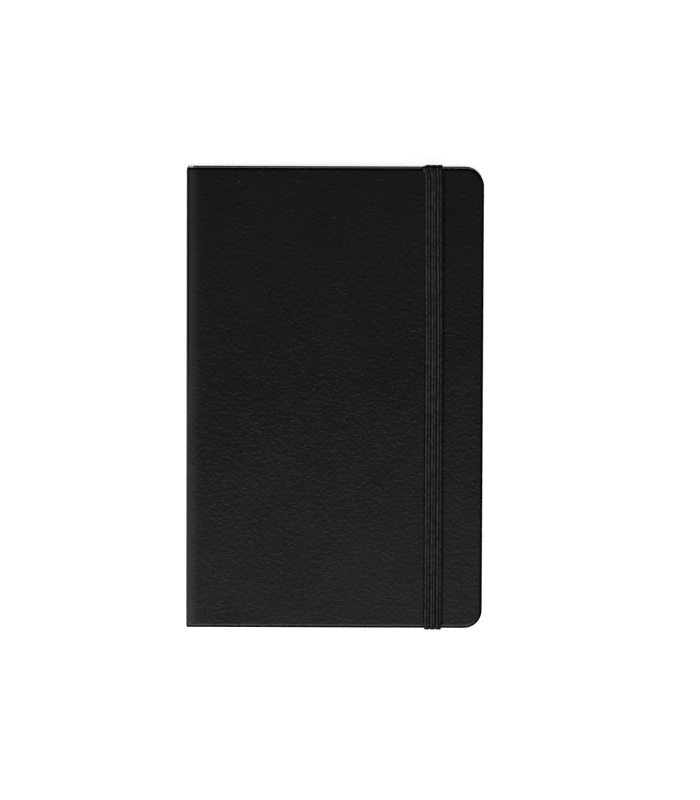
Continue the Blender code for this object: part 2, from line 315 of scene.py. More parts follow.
def strip_patch(x, z, normal_x, normal_z, deep, bulge, rub, sizes, turned):
    """Covering without a fore-edge: the head-to-tail profile, with both turned-in ends, along a line.

    Each point lies its row's depth inside the line. One value along the line is wear with a painted
    highlight, and the bend's upper part gets a dark, dull line of painted shade in the head half.
    """
    edge = EdgeRows(sizes)
    face_y = np.linspace(-1.0, 1.0, 37)[1:-1] * (HEAD_Y - sizes.edge_round)

    def both_ends(rows):
        return np.concatenate([rows[::-1], np.zeros((len(face_y), *rows.shape[1:])), rows])

    depth = both_ends(edge.depth(np.zeros_like(x), bulge, deep))
    y = np.concatenate([edge.inset[::-1] - HEAD_Y, face_y, HEAD_Y - edge.inset])[:, None]
    points = np.stack([x - normal_x * depth, np.broadcast_to(y, depth.shape), z - normal_z * depth], axis=-1)
    upper = np.broadcast_to(upper_bend(-normal_x), x.shape)[None, :]
    # Painted shade: a dark, dull line along the bend's upper part, fading out towards the tail
    bend_shade = 0.5 * upper * ease((y + 25.0 * MM) / (55.0 * MM))
    return Patch(
        points,
        turned,
        rub=np.maximum(both_ends(edge.rub)[:, None], rub[None, :]),
        rim=np.maximum(both_ends(edge.rim)[:, None], bend_shade),
    )


def upper_bend(slope):
    """1 on the upper part of a joint's bend, by the sine of its turn, and 0 beside it: where shade is
    painted.
    """
    return ease((slope - 0.08) / 0.12) * ease((0.68 - slope) / 0.16)


def spine_deep(from_face):
    """How deep the spine's turned-in ends are: a lip beside the joints, the card's whole depth between."""
    return LIP + (SPINE_DEPTH - LIP) * ease((from_face - 2.0 * MM) / (0.6 * MM))


JOINT_RUN = 2.2 * MM  # a joint strip ends this far below the cover's outer face


def joint_patch(start, end, side, sizes):
    """Part of one joint strip, between two lengths along the joint line, with wear and a painted highlight
    most in mid-bend.
    """
    along = np.linspace(start, end, max(8, round((end - start) / (0.045 * MM))))
    x, depth, normal_x, normal_depth = joint_line(along, sizes)
    z = depth if side == BACK else TOP_Z - depth
    normal_z = normal_depth if side == BACK else -normal_depth
    middle = sizes.joint_round * math.pi / 4
    rub = np.exp(-(((along - middle) / (0.55 * MM)) ** 2))
    rub = np.where(along < middle, np.maximum(rub, 0.62), rub)
    bulge = np.full_like(x, LIP_BULGE)
    return strip_patch(x, z, normal_x, normal_z, spine_deep(depth), bulge, rub, sizes, side == FRONT)


def ripple(x, y):
    """Slow dips of a glued board, 0 to 1: the mean of three crossed waves."""
    waves = (
        np.sin(x / (11.0 * MM) + 0.6 * np.sin(y / (23.0 * MM)))
        + np.sin(y / (15.0 * MM) + 1.1 + 0.7 * np.sin(x / (19.0 * MM)))
        + np.sin((x + y) / (8.5 * MM) + 2.3)
    )
    return 0.5 + waves / 6.0


def band_channel(x, y):
    """1 where the back cover is let in for the band's ends, 0 elsewhere, with walls 0.35 mm wide."""
    low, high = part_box("band_anchor_head")
    middle, half = (low.x + high.x) / 2, (high.x - low.x) / 2
    slit = HEAD_Y - 8.65 * MM
    wall = 0.35 * MM
    across = ease((half + 0.08 * MM + wall - np.abs(x - middle)) / wall)
    return across * ease((np.abs(y) - slit) / wall)


def shoulder_rub(from_seam, y):
    """Wear and a painted highlight beside the spine: (1 - distance / 3.2 mm) to a power, both growing a
    little towards the tail.
    """
    fade = np.clip(1.0 - from_seam / (3.2 * MM), 0.0, 1.0)
    return fade ** (1.3 - 0.4 * y / HEAD_Y) * (0.68 + 0.10 * np.clip(-y / HEAD_Y, -1.0, 1.0))


def band_shade(x):
    """Painted shadow beside the band, darker and duller: a bell curve at each border, wider at the fore-edge.
    """
    low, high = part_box("band_front_run")
    spine_side = np.exp(-(((x - low.x + 0.10 * MM) / (0.30 * MM)) ** 2))
    fore_side = np.exp(-(((x - high.x - 0.25 * MM) / (0.55 * MM)) ** 2))
    return 0.30 * np.maximum(0.7 * spine_side, fore_side)


def band_dent(x):
    """Hollow pressed into the front cover by the band, 0 to 1: steep at its spine side, slow at the other."""
    low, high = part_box("band_front_run")
    spine_side = ease((x - low.x + 0.35 * MM) / (0.35 * MM))
    fore_side = ease((high.x + 1.0 * MM - x) / (1.0 * MM))
    return spine_side * fore_side


LET_IN = 0.50 * MM  # depth of the back cover's channels for the band's ends


def cover_patches(side, sizes):
    """One cover's covering: its face as columns of height 2Y(x), and rows over the three edges.

    The rows start at the face's border and run along its outward normal. Past the corner's radius a
    turned-in row stops at the mitre, x = fore-edge - inset or y = head - inset. Columns and rows lie
    closer together at the joint, along the band, and at the slits' walls.
    """
    edge = EdgeRows(sizes)
    rounding, corner = sizes.edge_round, sizes.corner
    seam = SPINE_X + sizes.joint_round
    low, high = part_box("band_anchor_head")
    columns = np.concatenate(
        [
            seam + np.linspace(0.0, 0.6 * MM, 9),
            np.linspace(seam + 1.0 * MM, low.x - 1.2 * MM, 40),
            np.linspace(low.x - 0.9 * MM, high.x + 1.0 * MM, 60),
            np.linspace(high.x + 1.1 * MM, FORE_X - corner - 0.4 * MM, 8),
            corner_columns(corner - rounding, FORE_X - rounding, 14),
        ]
    )
    slit_rows = [np.linspace(60.6, 62.2, 12), np.linspace(62.8, 68.6, 9), np.linspace(68.9, 69.4, 3)]
    near = np.concatenate(slit_rows) * (MM * (HEAD_Y - rounding) / (69.4 * MM))
    share = np.concatenate([-near[::-1], np.linspace(-60.0, 60.0, 61) * MM, near]) / (HEAD_Y - rounding)
    half = rounded_half(columns, HEAD_Y - rounding, corner - rounding, FORE_X - rounding)
    x = np.broadcast_to(columns, (len(share), len(columns)))
    y = share[:, None] * half
    let_in = LET_IN if side == BACK else 0.0
    from_border = np.minimum.reduce([x - seam, FORE_X - rounding - x, half[None, :] - np.abs(y)])
    dip = sizes.ripple * ripple(x, y * side) * ease(from_border / (9.0 * MM))
    if side == BACK:
        depth = dip + (let_in - dip) * band_channel(x, y)
    else:
        depth = dip + sizes.dent * band_dent(x) * ease(from_border / (1.5 * MM))

    def placed(px, py, deep):
        return np.stack([px, py, deep if side == BACK else TOP_Z - deep], axis=-1)

    border_x = np.concatenate([x[0], x[1:, -1], x[-1, -2::-1]])
    border_y = np.concatenate([y[0], y[1:, -1], y[-1, -2::-1]])
    out_x = np.clip(border_x - (FORE_X - corner), 0.0, None)
    out_y = np.sign(border_y) * np.clip(np.abs(border_y) - (HEAD_Y - corner), 0.0, None)
    length = np.hypot(out_x, out_y)
    out_x, out_y = out_x / length, out_y / length
    outline_x, outline_y = border_x + rounding * out_x, border_y + rounding * out_y
    inset = edge.inset[:, None]
    row_x = np.minimum(outline_x - inset * out_x, FORE_X - inset)
    row_y = np.clip(outline_y - inset * out_y, inset - HEAD_Y, HEAD_Y - inset)
    past_seam = ease((border_x - seam) / (0.4 * MM))
    base = let_in * band_channel(border_x, border_y)
    deep = LIP + (COVER_DEPTH - LIP) * past_seam
    bulge = LIP_BULGE + (sizes.edge_drop - LIP_BULGE) * past_seam
    depth_rows = edge.depth(base, bulge, deep)
    # Wear and a painted highlight beside the spine
    handled_and_highlit = shoulder_rub(x - seam, y)
    rub = np.maximum(edge.rub[:, None], shoulder_rub(border_x - seam, border_y)[None, :])
    rim = np.broadcast_to(edge.rim[:, None], depth_rows.shape)
    # Painted shadow beside the band on the front cover
    shade = 0.0 if side == BACK else band_shade(x)
    return [
        Patch(placed(x, y, depth), side == BACK, rub=handled_and_highlit, rim=shade),
        Patch(placed(row_x, row_y, depth_rows), side == FRONT, rub=rub, rim=rim),
    ]


class NOTEBOOK_OT_covering(bpy.types.Operator):
    """Wrap both covers, the spine and the two joints in the pebbled covering"""

    bl_idname = "notebook.covering"
    bl_label = "Covering"

    def execute(self, context):
        sizes = context.scene.notebook_covering
        leather = covering_material(context.scene.notebook_colours)
        radius = sizes.joint_round
        quarter = radius * math.pi / 2
        last = quarter + JOINT_RUN - radius

        def skin(name, patches):
            return thicken(piece(name, patches, [leather]), sizes.skin, -1.0)

        back = skin("back_cover_skin", cover_patches(BACK, sizes))
        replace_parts(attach(back, "back_half"), "back_covering")
        front = skin("front_cover_skin", cover_patches(FRONT, sizes))
        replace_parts(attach(front, "front_cover"), "front_covering")

        z = np.linspace(JOINT_RUN, TOP_Z - JOINT_RUN, 45)
        from_face = np.minimum(z, TOP_Z - z)
        flat = np.full_like(z, SPINE_X)
        bulge = np.full_like(z, LIP_BULGE)
        face = strip_patch(flat, z, -1.0, 0.0, spine_deep(from_face), bulge, 0.0 * z, sizes, False)
        spine = skin("spine_skin", [face])
        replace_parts(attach(spine, "spine"), "spine_covering")

        back_joint = skin("back_joint_skin", [joint_patch(0.0, last, BACK, sizes)])
        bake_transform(back_joint)
        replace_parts(back_joint, "back_joint_fold")
        lower = skin("front_joint_skin_spine", [joint_patch(quarter / 2, last, FRONT, sizes)])
        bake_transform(lower)
        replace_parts(lower, "front_joint_fold")
        upper = skin("front_joint_skin_cover", [joint_patch(0.0, quarter / 2, FRONT, sizes)])
        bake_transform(upper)
        return {"FINISHED"}


# ---------------------------------------------------------------- leaves


def folded_sheet(bottom, top, fold_x, ends, halves, corner, columns, bends=9):
    """A sheet folded once at the spine: one leaf at height top, one at bottom, and a half circle between.

    It runs from the top leaf's fore-edge to the fold and back out to the bottom leaf's fore-edge.
    ends and halves are (top, bottom): each leaf's fore-edge and half height. Returns x, z and the half
    height at each place along it.
    """
    radius = (top - bottom) / 2
    turn = np.linspace(-math.pi / 2, math.pi / 2, bends + 2)[1:-1]
    middle = fold_x + radius
    upper, lower = (
        np.concatenate([columns[columns < end - corner - 0.1 * MM], corner_columns(corner, end, 6)])
        for end in ends
    )
    x = np.concatenate([upper[::-1], middle - radius * np.cos(turn), lower])
    fold_z = (top + bottom) / 2 - radius * np.sin(turn)
    z = np.concatenate([np.full(len(upper), top), fold_z, np.full(len(lower), bottom)])
    upper_half = rounded_half(upper, halves[0], corner, ends[0])[::-1]
    lower_half = rounded_half(lower, halves[1], corner, ends[1])
    half = np.concatenate([upper_half, np.linspace(halves[0], halves[1], bends), lower_half])
    return x, z, half


def sheet_points(x, z, half, share):
    """Points of a sheet of even thickness: y is a share of the half height."""
    shape = (len(share), len(x))
    return np.stack([np.broadcast_to(x, shape), share[:, None] * half, np.broadcast_to(z, shape)], axis=-1)


class NOTEBOOK_OT_sections(bpy.types.Operator):
    """Fold and gather the twelve sections of ruled leaves"""

    bl_idname = "notebook.sections"
    bl_label = "Sections"

    def execute(self, context):
        sizes = context.scene.notebook_leaves
        colours = context.scene.notebook_colours
        finishes = [leaf_material(colours, sizes), leaf_edge_material(colours)]
        draw = np.random.default_rng(12)
        share = np.linspace(-1.0, 1.0, 9)
        names = sorted(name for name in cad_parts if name.startswith("section_"))
        for name in names:
            low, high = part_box(name)
            middle, pitch = (low.z + high.z) / 2, (high.z - low.z) / (2 * sizes.sheets)
            centre = low.x + (high.z - low.z) / 2
            columns = np.concatenate(
                [
                    centre + np.linspace(0.0, sizes.gutter, 15),
                    np.linspace(centre + sizes.gutter + 4 * MM, high.x - sizes.corner - 1 * MM, 8),
                ]
            )
            patches = []
            for sheet in range(sizes.sheets):
                reach = (sizes.sheets - sheet - 0.5) * pitch
                ends = high.x - draw.uniform(0.0, 2.0, 2) * sizes.trim
                halves = high.y - draw.uniform(0.0, 1.6, 2) * sizes.trim
                x, z, half = folded_sheet(
                    middle - reach, middle + reach, centre - reach, ends, halves, sizes.corner, columns
                )
                patches.append(Patch(sheet_points(x, z, half, share), True))
            leaves = thicken(piece(name + "_leaves", patches, finishes), sizes.paper, 0.0, 1)
            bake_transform(leaves)
            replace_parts(leaves, name)
        return {"FINISHED"}


ENDPAPER = 0.13 * MM  # thickness
TURN_IN_END = 12.4 * MM  # from a cover's edge to where its endpaper sinks onto the board


def endpaper(name, side, colours, leaf_sizes):
    """One endpaper: pasted inside the cover, folded at the spine, and free as the flyleaf.

    The pasted half sinks by 0.17 mm where it is past the covering's turned-in edges. Returns the sheet
    and the heights of its free and pasted halves.
    """
    cover = "back" if side == BACK else "front"
    paste_low, paste_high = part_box(cover + "_pastedown")
    fly_low, fly_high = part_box(cover + "_flyleaf")
    paste_z, fly_z = (paste_low.z + paste_high.z) / 2, (fly_low.z + fly_high.z) / 2
    top, bottom = max(paste_z, fly_z), min(paste_z, fly_z)
    fold_x = paste_low.x + 0.15 * MM
    columns = np.linspace(fold_x + (top - bottom) / 2, FORE_X - 6.0 * MM, 80)
    share = np.linspace(-1.0, 1.0, 121)
    if side == BACK:
        ends, halves = (fly_high.x, paste_high.x), (fly_high.y, paste_high.y)
    else:
        ends, halves = (paste_high.x, fly_high.x), (paste_high.y, fly_high.y)
    corner = leaf_sizes.corner - 0.5 * MM
    x, z, half = folded_sheet(bottom, top, fold_x, ends, halves, corner, columns, bends=25)
    points = sheet_points(x, z, half, share)
    past = np.minimum(FORE_X - points[..., 0], HEAD_Y - np.abs(points[..., 1])) - TURN_IN_END
    pasted = np.abs(points[..., 2] - paste_z) < 0.001 * MM
    sunk = 0.17 * MM * ease(past / (0.9 * MM)) * ease((points[..., 0] - fold_x - 1.0 * MM) / (2.0 * MM))
    points[..., 2] += side * np.where(pasted, sunk, 0.0)
    made = piece(name, [Patch(points, True)], [endpaper_material(colours), leaf_edge_material(colours)])
    thicken(made, ENDPAPER, 0.0, 1)
    return made, fly_z, paste_z


class NOTEBOOK_OT_endpapers(bpy.types.Operator):
    """Fold the two endpapers and paste each one into its cover"""

    bl_idname = "notebook.endpapers"
    bl_label = "Endpapers"

    def execute(self, context):
        sizes = context.scene.notebook_leaves
        colours = context.scene.notebook_colours
        back = endpaper("back_endpaper", BACK, colours, sizes)[0]
        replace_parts(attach(back, "back_half"), "back_pastedown", "back_flyleaf")
        front, fly_z, paste_z = endpaper("front_endpaper", FRONT, colours, sizes)
        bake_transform(front)
        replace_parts(front, "front_pastedown", "front_flyleaf")
        return {"FINISHED"}


# ---------------------------------------------------------------- sewing


def tube(path, radius, sides=10):
    """A round cord along a path: rings across its direction, turned so that neighbours don't twist."""
    ahead = np.gradient(path, axis=0)
    ahead /= np.linalg.norm(ahead, axis=1)[:, None]
    side = np.cross(ahead, np.array([1.0, 0.02, 0.01]))
    side /= np.linalg.norm(side, axis=1)[:, None]
    up = np.cross(side, ahead)
    angle = np.linspace(0.0, 2 * math.pi, sides, endpoint=False)
    ring = np.cos(angle)[None, :, None] * side[:, None, :] + np.sin(angle)[None, :, None] * up[:, None, :]
    run = np.concatenate([[0.0], np.cumsum(np.linalg.norm(np.diff(path, axis=0), axis=1))])
    along = np.broadcast_to(run[:, None], (len(path), sides))
    around = np.broadcast_to(angle[None, :], (len(path), sides))
    return Patch(path[:, None, :] + radius * ring, False, True, True, along=along, around=around)


STITCHES = np.linspace(-56.0, 56.0, 5) * MM  # places of the link stitches from tail to head
THREAD_RADIUS = 0.13 * MM


def link_stitch(station, strand, middle, start, end):
    """One of a stitch's two strands: it runs across the folds and winds round the other three times."""
    rise = np.linspace(0.0, 1.0, 121)
    across = middle - 0.02 * MM * strand * np.cos(rise * math.pi * 12)
    aside = station + 0.17 * MM * strand * np.sin(rise * math.pi * 6)
    return tube(np.stack([across, aside, start + (end - start) * rise], axis=-1), THREAD_RADIUS)


def long_stitch(first, last, middle, start, outer):
    """Thread between two stitches along the outermost fold, bowed outwards as a squared sine."""
    span = np.linspace(0.0, 1.0, 41)
    bow = start - outer * (0.30 * MM + 0.10 * MM * np.sin(span * math.pi) ** 2)
    path = np.stack([np.full_like(span, middle), first + (last - first) * span, bow], axis=-1)
    return tube(path, THREAD_RADIUS)


class NOTEBOOK_OT_sewing(bpy.types.Operator):
    """Sew the sections through their folds with link stitches"""

    bl_idname = "notebook.sewing"
    bl_label = "Sewing"

    def execute(self, context):
        finish = thread_material(context.scene.notebook_colours)
        for half, outer in (("back", -1), ("front", 1)):
            low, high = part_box("sewing_thread_" + half)
            middle = (low.x + high.x) / 2
            start, end = (low.z, high.z) if outer < 0 else (high.z, low.z)
            start, end = start - outer * 2 * THREAD_RADIUS, end + outer * THREAD_RADIUS
            patches = [
                link_stitch(station, strand, middle, start, end) for station in STITCHES for strand in (-1, 1)
            ]
            for first, last in zip(STITCHES[:-1], STITCHES[1:]):
                patches.append(long_stitch(first, last, middle, start, outer))
            thread = piece("sewing_" + half, patches, [finish], math.radians(60))
            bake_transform(thread)
            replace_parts(thread, "sewing_thread_" + half)
        return {"FINISHED"}


# ---------------------------------------------------------------- band


def rounded_line(corners, radius, spacing):
    """A line through corner points in the YZ plane, each corner replaced by an arc, and the arc's normals.

    Returns points, the unit normal on the line's left, and the length run, at about even spacing.
    """
    corners = np.array(corners, float)
    legs = np.diff(corners, axis=0)
    lengths = np.linalg.norm(legs, axis=1)
    ahead = legs / lengths[:, None]
    points, headings = [], []
    trimmed = 0.0
    for i, direction in enumerate(ahead):
        turn = 0.0
        if i < len(ahead) - 1:
            cross = direction[0] * ahead[i + 1][1] - direction[1] * ahead[i + 1][0]
            turn = math.atan2(cross, float(direction @ ahead[i + 1]))
        cut = radius * abs(math.tan(turn / 2))
        steps = np.linspace(trimmed, lengths[i] - cut, max(2, round((lengths[i] - cut - trimmed) / spacing)))
        points.append(corners[i] + steps[:, None] * direction)
        headings.append(np.full(len(steps), math.atan2(direction[1], direction[0])))
        if turn:
            swing = np.linspace(0.0, turn, 14)[1:-1]
            left = np.array([-direction[1], direction[0]]) * math.copysign(1.0, turn)
            centre = corners[i] + (lengths[i] - cut) * direction + left * radius
            angles = headings[-1][-1] + swing
            away = np.stack([np.sin(angles), -np.cos(angles)], axis=-1) * math.copysign(1.0, turn)
            points.append(centre + away * radius)
            headings.append(angles)
        trimmed = cut
    points, headings = np.concatenate(points), np.concatenate(headings)
    run = np.concatenate([[0.0], np.cumsum(np.linalg.norm(np.diff(points, axis=0), axis=1))])
    return points, np.stack([-np.sin(headings), np.cos(headings)], axis=-1), run


CORDS = 6  # rubber cords under the band's cover, two to a rib
CORD_SHIFTS = np.array([-0.010, -0.012, 0.0, -0.018, 0.004, 0.010])  # of a cord's lit line, in band widths
# Strength of each cord's painted highlight: the left cord of each rib brighter, as if lit from the left
CORD_HIGHLIGHT = (1.0, 0.62, 0.95, 0.60, 1.0, 0.55)  # how strongly each cord shows
BAND_JOIN_Z = 3.0 * MM  # where the strap round the front meets the two ends
BAND_SLIT_Y = HEAD_Y - 8.225 * MM  # middle of the slit in the back cover


def bells(across, places, spread):
    """Sum of bell curves exp(-((across - place) / spread)^2)."""
    return sum(np.exp(-(((across - place) / spread) ** 2)) for place in places)


def strap(name, corners, outward, run_offset, sizes, finish):
    """The elastic: a ribbed cross-section carried along a line in the plane x = the band's middle.

    Across its width the height is the half thickness less two broad grooves at the thirds, three fine
    grooves along the ribs' middles, a rounding at both borders and a slight crown on each rib. Each of
    the six cords swells and thins along its length. Near the head the strap leans towards the spine, and
    it spreads where it turns over the edge. One attribute is 0 on a cord's painted highlight line and 1
    in the painted shade between cords, and on the strap's sides and bends, where no highlight is painted.
    """
    low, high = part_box("band_front_run")
    width, thickness = high.x - low.x, high.z - low.z
    line, left, run = rounded_line(corners, sizes.bend, 0.22 * MM)
    across = np.linspace(0.0, 1.0, 49)

    grooves = bells(across, (1 / 3, 2 / 3), 0.034)
    seams = bells(across, (1 / 6, 1 / 2, 5 / 6), 0.016)
    border = 1 - np.sqrt(np.clip(1 - np.clip(1 - np.minimum(across, 1 - across) / 0.055, 0, 1) ** 2, 0, 1))
    crown = (2 * (across * 3 % 1.0) - 1) ** 2
    profile = thickness / 2 * (1 - 0.85 * border) - sizes.groove * grooves - sizes.cord * seams
    profile = profile - 0.06 * MM * crown
    cord = np.floor(np.clip(across * CORDS, 0, CORDS - 0.001))
    phase = run[:, None] + run_offset
    swell = np.sin(
        2 * math.pi * phase / sizes.bead + 2.1 * cord + 1.3 * np.sin(phase / (2.9 * MM) + 1.7 * cord)
    )
    inside = np.sin(math.pi * np.clip(across * CORDS - cord, 0, 1)) ** 0.5
    height = profile[None, :] + 0.011 * MM * swell * inside[None, :]
    x = low.x + width * across
    ring_x = np.concatenate([x, x[-2:0:-1]])
    ring_height = np.concatenate([height, -height[:, -2:0:-1]], axis=1)

    at_y, at_z = line[:, :1], line[:, 1:]
    above_join = ease((at_z - BAND_JOIN_Z) / (8.0 * MM))
    lean = 0.30 * ease((at_y - 10.0 * MM) / (50.0 * MM)) + 0.45 * ease((at_y - 67.0 * MM) / (3.0 * MM))
    spread = 1 + 0.15 * ease((at_y - 68.6 * MM) / (1.0 * MM)) * above_join
    normal = left * outward
    middle = (low.x + high.x) / 2
    points = np.stack(
        [
            middle + spread * (ring_x[None, :] - middle) - lean * MM * above_join,
            at_y + normal[:, :1] * ring_height,
            at_z + normal[:, 1:] * ring_height,
        ],
        axis=-1,
    )

    # Painted highlight along each cord's top, weaker in the grooves; none on the sides and bends
    cord_highlight = np.zeros_like(across)
    for place, light in zip((np.arange(CORDS) + 0.5) / CORDS + CORD_SHIFTS, CORD_HIGHLIGHT):
        cord_highlight = np.maximum(cord_highlight, light * bells(across, (place,), 0.038))
    cord_highlight = cord_highlight * (1 - 0.6 * grooves)
    flat = ease((np.abs(normal[:, 1:]) - 0.80) / 0.18) * ease((at_y + HEAD_Y - 0.05 * MM) / (0.35 * MM))
    hollow = 1 - (0.08 + 0.92 * flat) * np.concatenate([cord_highlight, cord_highlight[-2:0:-1]])
    along = np.broadcast_to(phase, ring_height.shape)
    sideways = np.broadcast_to(ring_x - low.x, ring_height.shape)
    patch = Patch(points, outward < 0, True, True, along=along, across=sideways, hollow=hollow)
    return piece(name, [patch], [finish], math.radians(70))


class NOTEBOOK_OT_band(bpy.types.Operator):
    """Stretch the elastic band round the covers and bring its ends through the back cover"""

    bl_idname = "notebook.band"
    bl_label = "Closure band"

    def execute(self, context):
        sizes = context.scene.notebook_band
        finish = elastic_material(context.scene.notebook_colours)
        low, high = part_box("band_front_run")
        front_z = (low.z + high.z) / 2
        side_low, side_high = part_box("band_side_head")
        side_y = (side_low.y + side_high.y) / 2
        half = (side_high.y - side_low.y) / 2
        tab_low, tab_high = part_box("band_anchor_head")
        outer_z, inner_z = tab_low.z + half, tab_high.z - half
        front_line = [(side_y, BAND_JOIN_Z), (side_y, front_z), (-side_y, front_z), (-side_y, BAND_JOIN_Z)]
        front = strap("band_strap", front_line, -1, 0.0, sizes, finish)
        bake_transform(front)
        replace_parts(front, "band_front_run")
        for name, end in (("head", 1), ("tail", -1)):
            line = [
                (end * tab_low.y, inner_z),
                (end * BAND_SLIT_Y, inner_z),
                (end * BAND_SLIT_Y, outer_z),
                (end * side_y, outer_z),
                (end * side_y, BAND_JOIN_Z),
            ]
            anchor = strap("band_end_" + name, line, -end, 31.0 * MM * end, sizes, finish)
            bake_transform(anchor)
            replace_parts(anchor, "band_anchor_" + name, "band_side_" + name)
        return {"FINISHED"}


# ---------------------------------------------------------------- finishes


class Tree:
    """Adds nodes to one node tree. A socket given as an input is linked, and any other value is set."""

    def __init__(self, tree):
        self.tree = tree

    def node(self, kind, settings=None, **inputs):
        """A new shader node, its settings, and its inputs by name with underscores for spaces."""
        made = self.tree.nodes.new("ShaderNode" + kind)
        for key, value in (settings or {}).items():
            setattr(made, key, value)
        for key, value in inputs.items():
            self.put(made.inputs[key.replace("_", " ")], value)
        return made

    def put(self, socket, value):
        if isinstance(value, bpy.types.NodeSocket):
            self.tree.links.new(value, socket)
        else:
            socket.default_value = value

    def math(self, operation, a, b=0.0, c=0.0):
        """One sum of up to three values."""
        made = self.tree.nodes.new("ShaderNodeMath")
        made.operation = operation
        for socket, value in zip(made.inputs, (a, b, c)):
            self.put(socket, value)
        return made.outputs[0]

    def stretch(self, value, low, high, to_low=0.0, to_high=1.0):
        """A value carried from low..high to to_low..to_high, eased and clamped."""
        made = self.tree.nodes.new("ShaderNodeMapRange")
        made.interpolation_type = "SMOOTHSTEP"
        for socket, given in zip(made.inputs, (value, low, high, to_low, to_high)):
            self.put(socket, given)
        return made.outputs[0]

    def mix(self, factor, a, b):
        """The first colour at factor 0 and the second at 1."""
        made = self.tree.nodes.new("ShaderNodeMix")
        made.data_type = "RGBA"
        for socket, value in zip((made.inputs[0], made.inputs[6], made.inputs[7]), (factor, a, b)):
            self.put(socket, value)
        return made.outputs[2]

    def shade(self, value, strength):
        """A colour scaled by a value."""
        made = self.node("VectorMath", {"operation": "SCALE"}, Scale=strength)
        self.put(made.inputs[0], value)
        return made.outputs[0]

    def place(self, scale=(1.0, 1.0, 1.0)):
        """Object coordinates, in metres, stretched along each axis."""
        coordinates = self.tree.nodes.new("ShaderNodeTexCoord")
        mapping = self.tree.nodes.new("ShaderNodeMapping")
        mapping.inputs["Scale"].default_value = scale
        self.tree.links.new(coordinates.outputs["Object"], mapping.inputs["Vector"])
        return mapping.outputs[0]

    def noise(self, vector, scale, detail=2.0, roughness=0.5):
        made = self.node("TexNoise", Vector=vector, Scale=scale, Detail=detail, Roughness=roughness)
        return made.outputs["Fac"]

    def attribute(self, name):
        made = self.node("Attribute", {"attribute_name": name})
        return made.outputs["Fac"]


def group(name, inputs, outputs, build):
    """A shader node group, made once: named inputs with defaults, named outputs, and build to fill it."""
    tree = bpy.data.node_groups.get(name)
    if tree:
        return tree
    tree = bpy.data.node_groups.new(name, "ShaderNodeTree")
    for key, kind, default in inputs:
        socket = tree.interface.new_socket(key, in_out="INPUT", socket_type="NodeSocket" + kind)
        if default is not None:
            socket.default_value = default
    for key, kind in outputs:
        tree.interface.new_socket(key, in_out="OUTPUT", socket_type="NodeSocket" + kind)
    given = tree.nodes.new("NodeGroupInput")
    result = tree.nodes.new("NodeGroupOutput")
    maker = Tree(tree)
    for key, socket in build(maker, given.outputs).items():
        maker.put(result.inputs[key], socket)
    return tree


def place_group(maker, tree, **inputs):
    """A node group placed in a tree with its inputs set or linked. Returns its outputs."""
    made = maker.tree.nodes.new("ShaderNodeGroup")
    made.node_tree = tree
    for key, value in inputs.items():
        maker.put(made.inputs[key.replace("_", " ")], value)
    return made.outputs


def fibre_group():
    """Paper and board fibres: short lines crossed two ways, and a slow cloudiness."""

    def build(maker, given):
        lines = maker.noise(maker.place((1.0, 0.18, 1.0)), given["Scale"], 4.0, 0.6)
        crossed = maker.noise(maker.place((0.2, 1.0, 1.0)), given["Scale"], 4.0, 0.6)
        cloud = maker.noise(maker.place(), 90.0, 3.0)
        both = maker.math("MULTIPLY_ADD", crossed, 0.5, maker.math("MULTIPLY", lines, 0.5))
        shade = maker.math("MULTIPLY_ADD", maker.math("SUBTRACT", both, 0.5), given["Fibre"], 1.0)
        cloudy = maker.math("MULTIPLY_ADD", maker.math("SUBTRACT", cloud, 0.5), given["Cloud"], shade)
        return {"Colour": maker.shade(given["Colour"], cloudy), "Height": both}

    inputs = [
        ("Colour", "Color", (0.8, 0.8, 0.8, 1.0)),
        ("Scale", "Float", 1500.0),
        ("Fibre", "Float", 0.10),
        ("Cloud", "Float", 0.06),
    ]
    return group("fibres", inputs, [("Colour", "Color"), ("Height", "Float")], build)


def pebble_group():
    """Pebbled grain: rounded bumps, wrinkles where a second noise crosses its middle, and fine creases."""

    def build(maker, given):
        place = maker.place()
        bumps = maker.noise(place, given["Cells"], 1.0, 0.5)
        crossing = maker.noise(place, maker.math("MULTIPLY", given["Cells"], 0.8), 1.0, 0.5)
        ridge = maker.math("ABSOLUTE", maker.math("SUBTRACT", crossing, 0.5))
        wrinkle = maker.stretch(ridge, 0.0, 0.14)
        finer = maker.math("MULTIPLY", given["Cells"], 1.1)
        cells = maker.node("TexVoronoi", {"feature": "DISTANCE_TO_EDGE"}, Vector=place, Scale=finer)
        crease = maker.stretch(cells.outputs["Distance"], 0.0, 0.22)
        height = maker.math("MULTIPLY_ADD", wrinkle, 0.40, bumps)
        height = maker.math("MULTIPLY_ADD", crease, 0.13, height)
        mottle = maker.noise(place, 120.0, 5.0, 0.6)
        slow = maker.noise(place, 22.0, 3.0, 0.55)
        return {
            "Height": height,
            "Crease": crease,
            "Mottle": maker.math("MULTIPLY_ADD", slow, 0.5, maker.math("MULTIPLY", mottle, 0.5)),
        }

    outputs = [("Height", "Float"), ("Crease", "Float"), ("Mottle", "Float")]
    return group("pebbled_grain", [("Cells", "Float", 950.0)], outputs, build)


def weave_group():
    """Plain weave by two lengths: threads one way and the other, each raised where it passes over."""

    def build(maker, given):
        turns = maker.math("DIVIDE", math.pi, given["Pitch"])
        warp, weft = (
            maker.math("SINE", maker.math("MULTIPLY", given[way], turns)) for way in ("Across", "Along")
        )
        over = maker.math("MULTIPLY", warp, weft)
        return {
            "Height": maker.stretch(over, -1.0, 1.0),
            "Gap": maker.math("MULTIPLY", maker.math("ABSOLUTE", warp), maker.math("ABSOLUTE", weft)),
        }

    inputs = [("Across", "Float", 0.0), ("Along", "Float", 0.0), ("Pitch", "Float", 0.0006)]
    return group("weave", inputs, [("Height", "Float"), ("Gap", "Float")], build)


